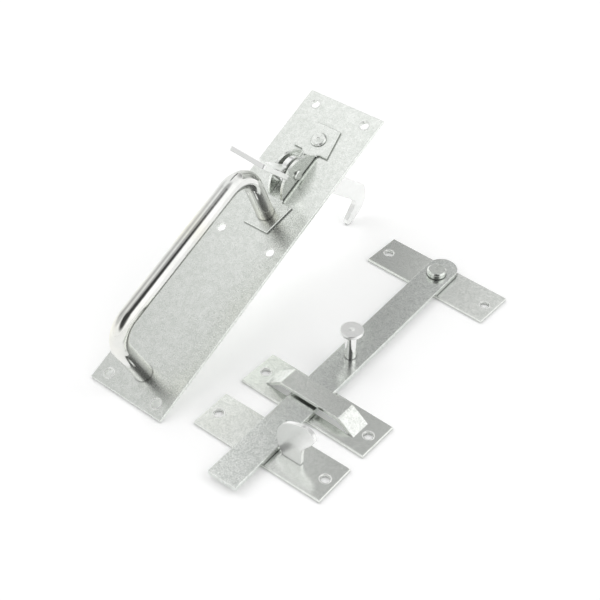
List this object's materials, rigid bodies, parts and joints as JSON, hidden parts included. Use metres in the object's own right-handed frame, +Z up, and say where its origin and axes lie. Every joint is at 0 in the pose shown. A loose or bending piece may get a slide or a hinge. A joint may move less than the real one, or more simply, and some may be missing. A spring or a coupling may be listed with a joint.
{
  "type": "suffolk latch",
  "caption": "Zinc-plated thumb latch set: handle plate with bow grip and thumb lever, and a pivoting bar with keeper and hooked catch.",
  "frame": {"origin": "On the floor, under the bar's pivot: the middle of the pivot plate's back.", "axes": "+Z up from the floor the set is laid out on; the bar runs from its pivot towards -Y; +X runs from the handle plate towards the bar's side."},
  "size_m": [0.1448, 0.2165, 0.0998],
  "materials": {
    "zinc_plate": "satin zinc plating on sheet steel, faintly mottled",
    "bright_zinc": "bright zinc plating on round bar",
    "rivet_zinc": "zinc plating on rivets, slightly duller"
  },
  "bodies": {
    "fixed_set": {"handle_plate": "zinc_plate", "grip": "bright_zinc", "lever_bracket": "zinc_plate", "bracket_rivet": "rivet_zinc", "lever_pin": "rivet_zinc", "pivot_plate": "zinc_plate", "pivot_rivet": "rivet_zinc", "keeper_plate": "zinc_plate", "catch_plate": "zinc_plate", "catch_hook": "zinc_plate"},
    "lever": {"thumb_lever": "zinc_plate"},
    "bar": {"latch_bar": "zinc_plate", "lift_knob": "bright_zinc"}
  },
  "joints": [
    {"name": "thumb_lever_turn", "type": "hinge", "parent": "fixed_set", "child": "lever", "pos_m": [-0.07219, -0.04419, 0.07011], "axis": [-0.9997, 0.0227, 0], "range_deg": [0, 35]},
    {"name": "bar_lift", "type": "hinge", "parent": "fixed_set", "child": "bar", "pos_m": [0, 0, 0.0038], "axis": [0, 0, -1], "range_deg": [0, 3.4]}
  ]
}
